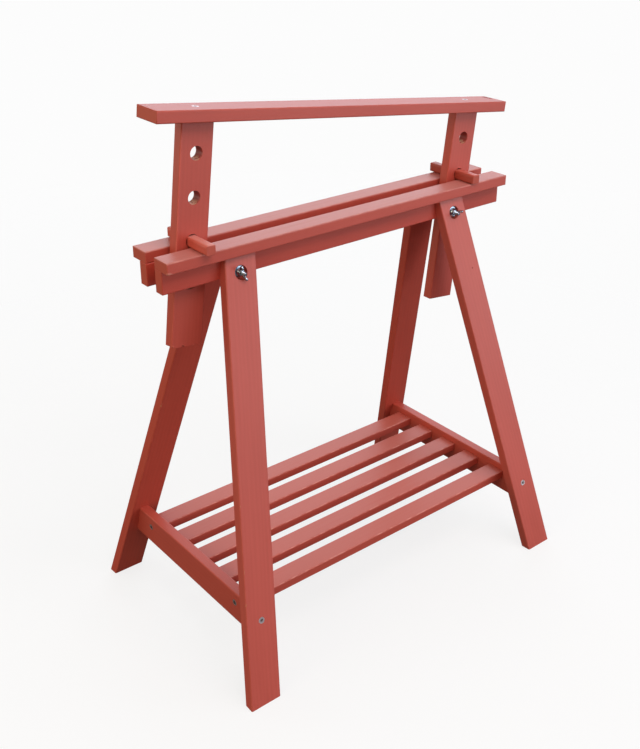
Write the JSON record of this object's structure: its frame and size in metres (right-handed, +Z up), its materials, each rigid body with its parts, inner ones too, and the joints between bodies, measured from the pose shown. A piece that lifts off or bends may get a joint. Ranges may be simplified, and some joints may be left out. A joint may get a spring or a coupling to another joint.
{
  "type": "adjustable wooden trestle",
  "caption": "Painted wooden trestle with splayed legs, a slatted shelf and a raised board on drilled uprights whose pegs rest on twin rails, set lower at one end so that the board slopes.",
  "frame": {"origin": "on the floor, under the middle of the stand", "axes": "+X along the beams to the right seen from the wing nuts' side, +Y to the back, +Z up"},
  "size_m": [0.7118, 0.454, 0.8998],
  "materials": {
    "paint": "semi-matte salmon red paint over planed pine",
    "peg_paint": "semi-matte brick red paint",
    "zinc": "bright zinc plate",
    "beech": "bare planed beech"
  },
  "bodies": {
    "frame": {"front_rail": "paint", "back_rail": "paint", "front_apron": "paint", "back_apron": "paint", "front_left_leg": "paint", "front_right_leg": "paint", "back_left_leg": "paint", "back_right_leg": "paint", "left_end_rail": "paint", "right_end_rail": "paint", "shelf_slat_1": "paint", "shelf_slat_2": "paint", "shelf_slat_3": "paint", "shelf_slat_4": "paint", "shelf_slat_5": "paint", "left_bolt": "zinc", "right_bolt": "zinc", "left_washer": "zinc", "right_washer": "zinc", "leg_screws": "zinc", "slat_screws": "zinc", "front_beam_dowels": "beech", "back_beam_dowels": "beech", "slat_dowels": "beech"},
    "left_peg": {"left_peg": "peg_paint"},
    "top": {"top_board": "paint", "left_upright": "paint", "right_upright": "paint", "board_screws": "zinc", "upright_dowels": "beech"},
    "right_peg": {"right_peg": "peg_paint"},
    "left_wing_nut": {"left_wing_nut": "zinc"},
    "right_wing_nut": {"right_wing_nut": "zinc"}
  },
  "joints": [
    {"name": "top_lift", "type": "slide", "parent": "frame", "child": "left_peg", "axis": [0.1164, 0, 0.9932], "range_m": [0, 0.07]},
    {"name": "top_tilt", "type": "hinge", "parent": "left_peg", "child": "top", "pos_m": [-0.28337, 0, 0.7003], "axis": [0, -1, 0], "range_deg": [0, 13]},
    {"name": "peg_pull", "type": "slide", "parent": "top", "child": "right_peg", "axis": [0, -1, 0], "range_m": [-0.058, 0.06]},
    {"name": "left_nut_turn", "type": "hinge", "parent": "frame", "child": "left_wing_nut", "pos_m": [-0.22411, -0.0405, 0.648], "axis": [0, -1, 0], "continuous": true},
    {"name": "right_nut_turn", "type": "hinge", "parent": "frame", "child": "right_wing_nut", "pos_m": [0.22411, -0.0405, 0.648], "axis": [0, -1, 0], "continuous": true}
  ]
}
